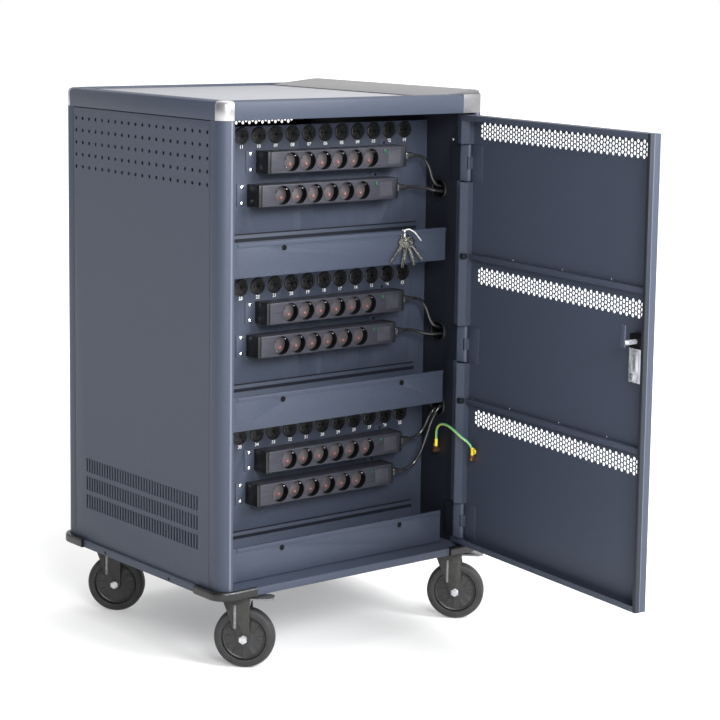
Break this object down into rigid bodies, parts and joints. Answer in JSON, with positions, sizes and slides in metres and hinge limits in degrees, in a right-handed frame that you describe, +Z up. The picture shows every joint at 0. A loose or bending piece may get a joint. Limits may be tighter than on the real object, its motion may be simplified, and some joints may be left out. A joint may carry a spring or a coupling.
{
  "type": "charging cabinet",
  "caption": "Wheeled sheet-metal charging cabinet with hinged doors, socket strips, cord grommets, charger trays and device shelves.",
  "frame": {"origin": "on the floor under the middle of the cabinet's body", "axes": "+Z up, power side towards -Y, push handle towards +X"},
  "size_m": [0.7117, 1.2157, 1.162],
  "materials": {
    "body_paint": "fine texture powder coat",
    "top_grey": "satin",
    "silver": "satin",
    "dark_plastic": "matt",
    "black_rubber": "matt",
    "strip_metal": "satin anodised",
    "zinc_steel": "zinc plated",
    "socket_plastic": "matt",
    "lamp_green": "gloss",
    "cord_black": "satin",
    "earth_sleeve": "gloss",
    "copper": "bright",
    "lock_chrome": "polished",
    "tie_white": "satin",
    "hub_grey": "satin",
    "tyre_grey": "matt"
  },
  "bodies": {
    "cabinet": {"base_pan": "body_paint", "base_bumpers": "black_rubber", "corner_posts": "body_paint", "side_panels": "body_paint", "inner_walls": "body_paint", "top_rails": "body_paint", "top_corner_caps": "silver", "top_panel": "top_grey", "push_handle": "silver", "handle_end_caps": "dark_plastic", "device_shelves": "body_paint", "slot_dividers": "dark_plastic", "partition_panel": "body_paint", "cable_grommets": "black_rubber", "charger_tray_upper": "body_paint", "charger_tray_middle": "body_paint", "charger_tray_lower": "body_paint", "power_strips": "strip_metal", "socket_inserts": "socket_plastic", "strip_end_caps": "dark_plastic", "strip_brackets": "zinc_steel", "strip_lamps": "lamp_green", "gland_nuts": "zinc_steel", "cord_glands": "dark_plastic", "strip_cords": "cord_black", "wall_grommets": "black_rubber", "terminal_boxes": "dark_plastic", "mains_inlet": "dark_plastic", "wall_earth_stud": "copper", "earth_wire": "earth_sleeve", "key_tie": "tie_white", "keys": "lock_chrome", "front_hinges": "zinc_steel", "rear_hinges": "zinc_steel", "castor_plates": "zinc_steel"},
    "front_door": {"front_door": "body_paint", "front_door_bars": "body_paint", "front_door_hinge_leaves": "zinc_steel", "front_lock_case": "lock_chrome", "door_earth_stud": "copper"},
    "front_handle": {"front_handle": "lock_chrome"},
    "rear_door": {"rear_door": "body_paint", "rear_door_bars": "body_paint", "rear_door_hinge_leaves": "zinc_steel", "rear_lock_case": "lock_chrome"},
    "rear_handle": {"rear_handle": "lock_chrome"},
    "front_left_castor": {"front_left_castor_fork": "zinc_steel"},
    "front_left_wheel": {"front_left_castor_hub": "hub_grey", "front_left_castor_tyre": "tyre_grey"},
    "front_left_brake": {"front_left_brake_pedal": "zinc_steel"},
    "front_right_castor": {"front_right_castor_fork": "zinc_steel"},
    "front_right_wheel": {"front_right_castor_hub": "hub_grey", "front_right_castor_tyre": "tyre_grey"},
    "front_right_brake": {"front_right_brake_pedal": "zinc_steel"},
    "rear_left_castor": {"rear_left_castor_fork": "zinc_steel"},
    "rear_left_wheel": {"rear_left_castor_hub": "hub_grey", "rear_left_castor_tyre": "tyre_grey"},
    "rear_right_castor": {"rear_right_castor_fork": "zinc_steel"},
    "rear_right_wheel": {"rear_right_castor_hub": "hub_grey", "rear_right_castor_tyre": "tyre_grey"}
  },
  "joints": [
    {"name": "front_door_hinge", "type": "hinge", "parent": "cabinet", "child": "front_door", "pos_m": [0.302, -0.293, 0.64], "axis": [0, 0, 1], "range_deg": [-84, 16], "deforming": ["earth_wire"]},
    {"name": "front_handle_turn", "type": "hinge", "parent": "front_door", "child": "front_handle", "pos_m": [0.24907, -0.86359, 0.707], "axis": [0.9945, -0.1045, 0], "range_deg": [0, 90]},
    {"name": "rear_door_hinge", "type": "hinge", "parent": "cabinet", "child": "rear_door", "pos_m": [-0.302, 0.293, 0.64], "axis": [0, 0, 1], "range_deg": [0, 100]},
    {"name": "rear_handle_turn", "type": "hinge", "parent": "rear_door", "child": "rear_handle", "pos_m": [0.271, 0.3, 0.707], "axis": [0, 1, 0], "range_deg": [0, 90]},
    {"name": "front_left_swivel", "type": "hinge", "parent": "cabinet", "child": "front_left_castor", "pos_m": [-0.284, -0.244, 0.157], "axis": [0, 0, 1], "continuous": true},
    {"name": "front_left_roll", "type": "hinge", "parent": "front_left_castor", "child": "front_left_wheel", "pos_m": [-0.25925, -0.26875, 0.0625], "axis": [0.7071, 0.7071, 0], "continuous": true},
    {"name": "front_left_brake_press", "type": "hinge", "parent": "front_left_castor", "child": "front_left_brake", "pos_m": [-0.2543, -0.2737, 0.142], "axis": [0.7071, 0.7071, 0], "range_deg": [0, 12]},
    {"name": "front_right_swivel", "type": "hinge", "parent": "cabinet", "child": "front_right_castor", "pos_m": [0.284, -0.244, 0.157], "axis": [0, 0, 1], "continuous": true},
    {"name": "front_right_roll", "type": "hinge", "parent": "front_right_castor", "child": "front_right_wheel", "pos_m": [0.30875, -0.26875, 0.0625], "axis": [0.7071, 0.7071, 0], "continuous": true},
    {"name": "front_right_brake_press", "type": "hinge", "parent": "front_right_castor", "child": "front_right_brake", "pos_m": [0.3137, -0.2737, 0.142], "axis": [0.7071, 0.7071, 0], "range_deg": [0, 12]},
    {"name": "rear_left_swivel", "type": "hinge", "parent": "cabinet", "child": "rear_left_castor", "pos_m": [-0.284, 0.244, 0.157], "axis": [0, 0, 1], "continuous": true},
    {"name": "rear_left_roll", "type": "hinge", "parent": "rear_left_castor", "child": "rear_left_wheel", "pos_m": [-0.25925, 0.21925, 0.0625], "axis": [0.7071, 0.7071, 0], "continuous": true},
    {"name": "rear_right_swivel", "type": "hinge", "parent": "cabinet", "child": "rear_right_castor", "pos_m": [0.284, 0.244, 0.157], "axis": [0, 0, 1], "continuous": true},
    {"name": "rear_right_roll", "type": "hinge", "parent": "rear_right_castor", "child": "rear_right_wheel", "pos_m": [0.30875, 0.21925, 0.0625], "axis": [0.7071, 0.7071, 0], "continuous": true}
  ]
}
